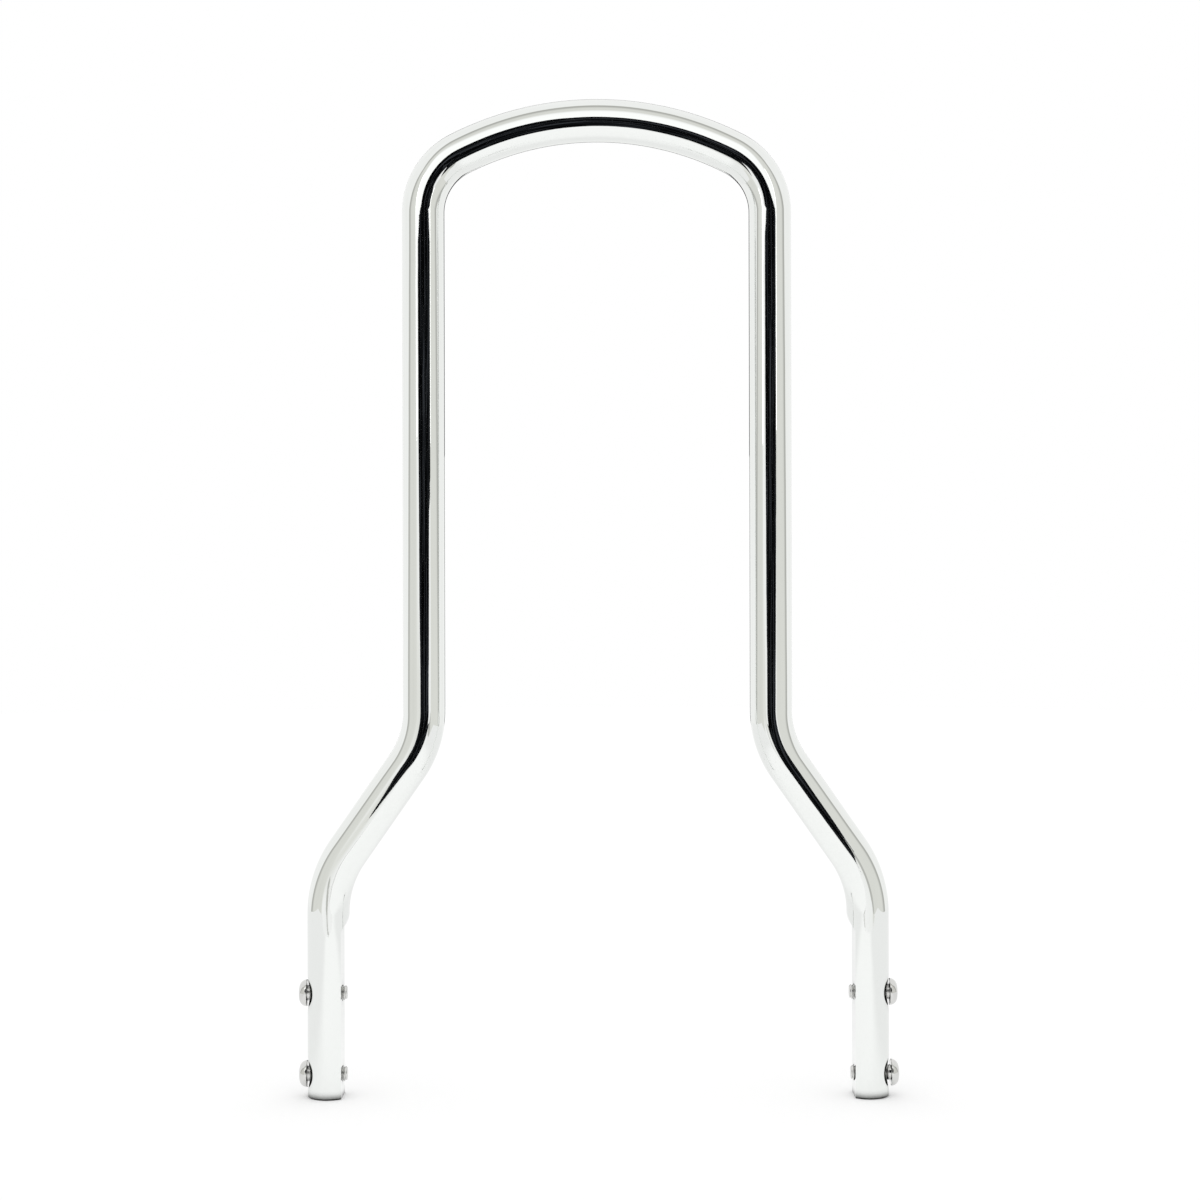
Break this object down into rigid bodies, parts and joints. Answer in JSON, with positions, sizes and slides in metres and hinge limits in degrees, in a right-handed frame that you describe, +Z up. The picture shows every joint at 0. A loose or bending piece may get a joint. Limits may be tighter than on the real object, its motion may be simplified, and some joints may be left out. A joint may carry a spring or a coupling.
{
  "type": "sissy bar",
  "caption": "Chromed round-bar hoop with an arched top, flared lower end and flattened legs, with button-head screws through the legs.",
  "frame": {"origin": "midway between the two legs, at the level of their cut ends, on the bar's centre plane", "axes": "+Z up along the uprights, X across the hoop from leg to leg, Y square to the plane in which the bar is bent"},
  "size_m": [0.3163, 0.0222, 0.5265],
  "materials": {
    "chromed_bar": "polished chrome plate",
    "screws": "bright chrome plate"
  },
  "bodies": {
    "root": {"hoop": "chromed_bar", "left_upper_screw": "screws", "left_lower_screw": "screws", "right_upper_screw": "screws", "right_lower_screw": "screws"}
  },
  "joints": []
}
